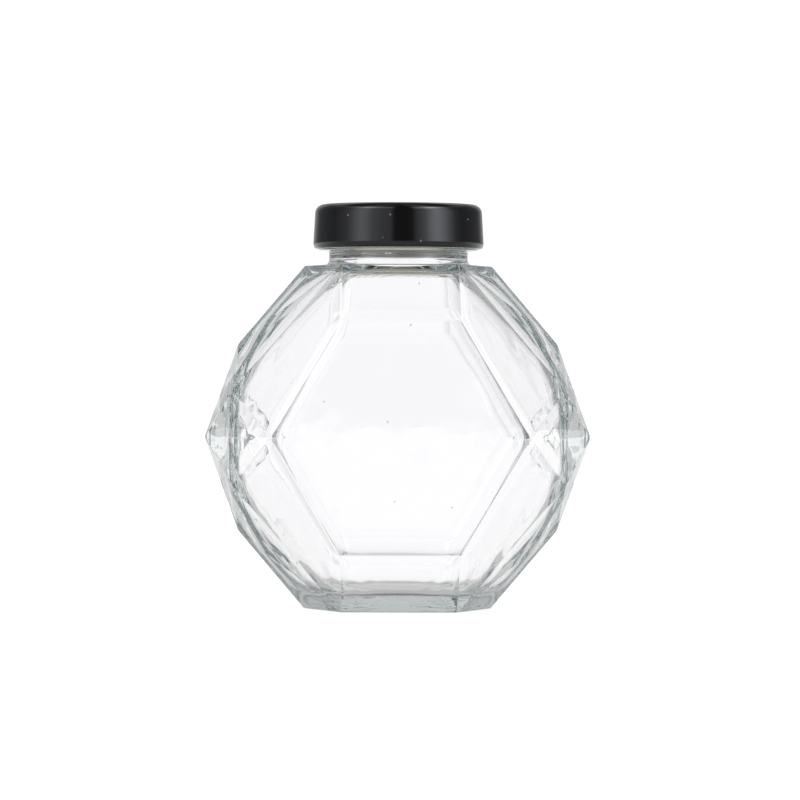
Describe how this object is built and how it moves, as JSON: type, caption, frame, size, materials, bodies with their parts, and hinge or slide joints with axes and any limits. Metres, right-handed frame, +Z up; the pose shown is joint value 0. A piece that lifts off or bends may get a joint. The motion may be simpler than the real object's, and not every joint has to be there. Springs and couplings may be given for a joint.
{
  "type": "hexagonal honey jar",
  "caption": "Empty faceted clear glass jar with a hexagonal front panel, a short round neck and a black twist-off metal cap, for storing honey or preserves.",
  "frame": {"origin": "on the surface the jar stands on, under the middle of the base", "axes": "+Z up along the neck, -Y towards the side the picture shows, with the large hexagonal panel, +X to the right seen from that side"},
  "size_m": [0.112, 0.0732, 0.117],
  "materials": {
    "clear_glass": "clear soda-lime glass with a faint green tint at its thick edges, fire-polished",
    "black_paint": "satin black lacquer on pressed sheet steel"
  },
  "bodies": {
    "root": {"glass_jar": "clear_glass", "cap": "black_paint"}
  },
  "joints": []
}
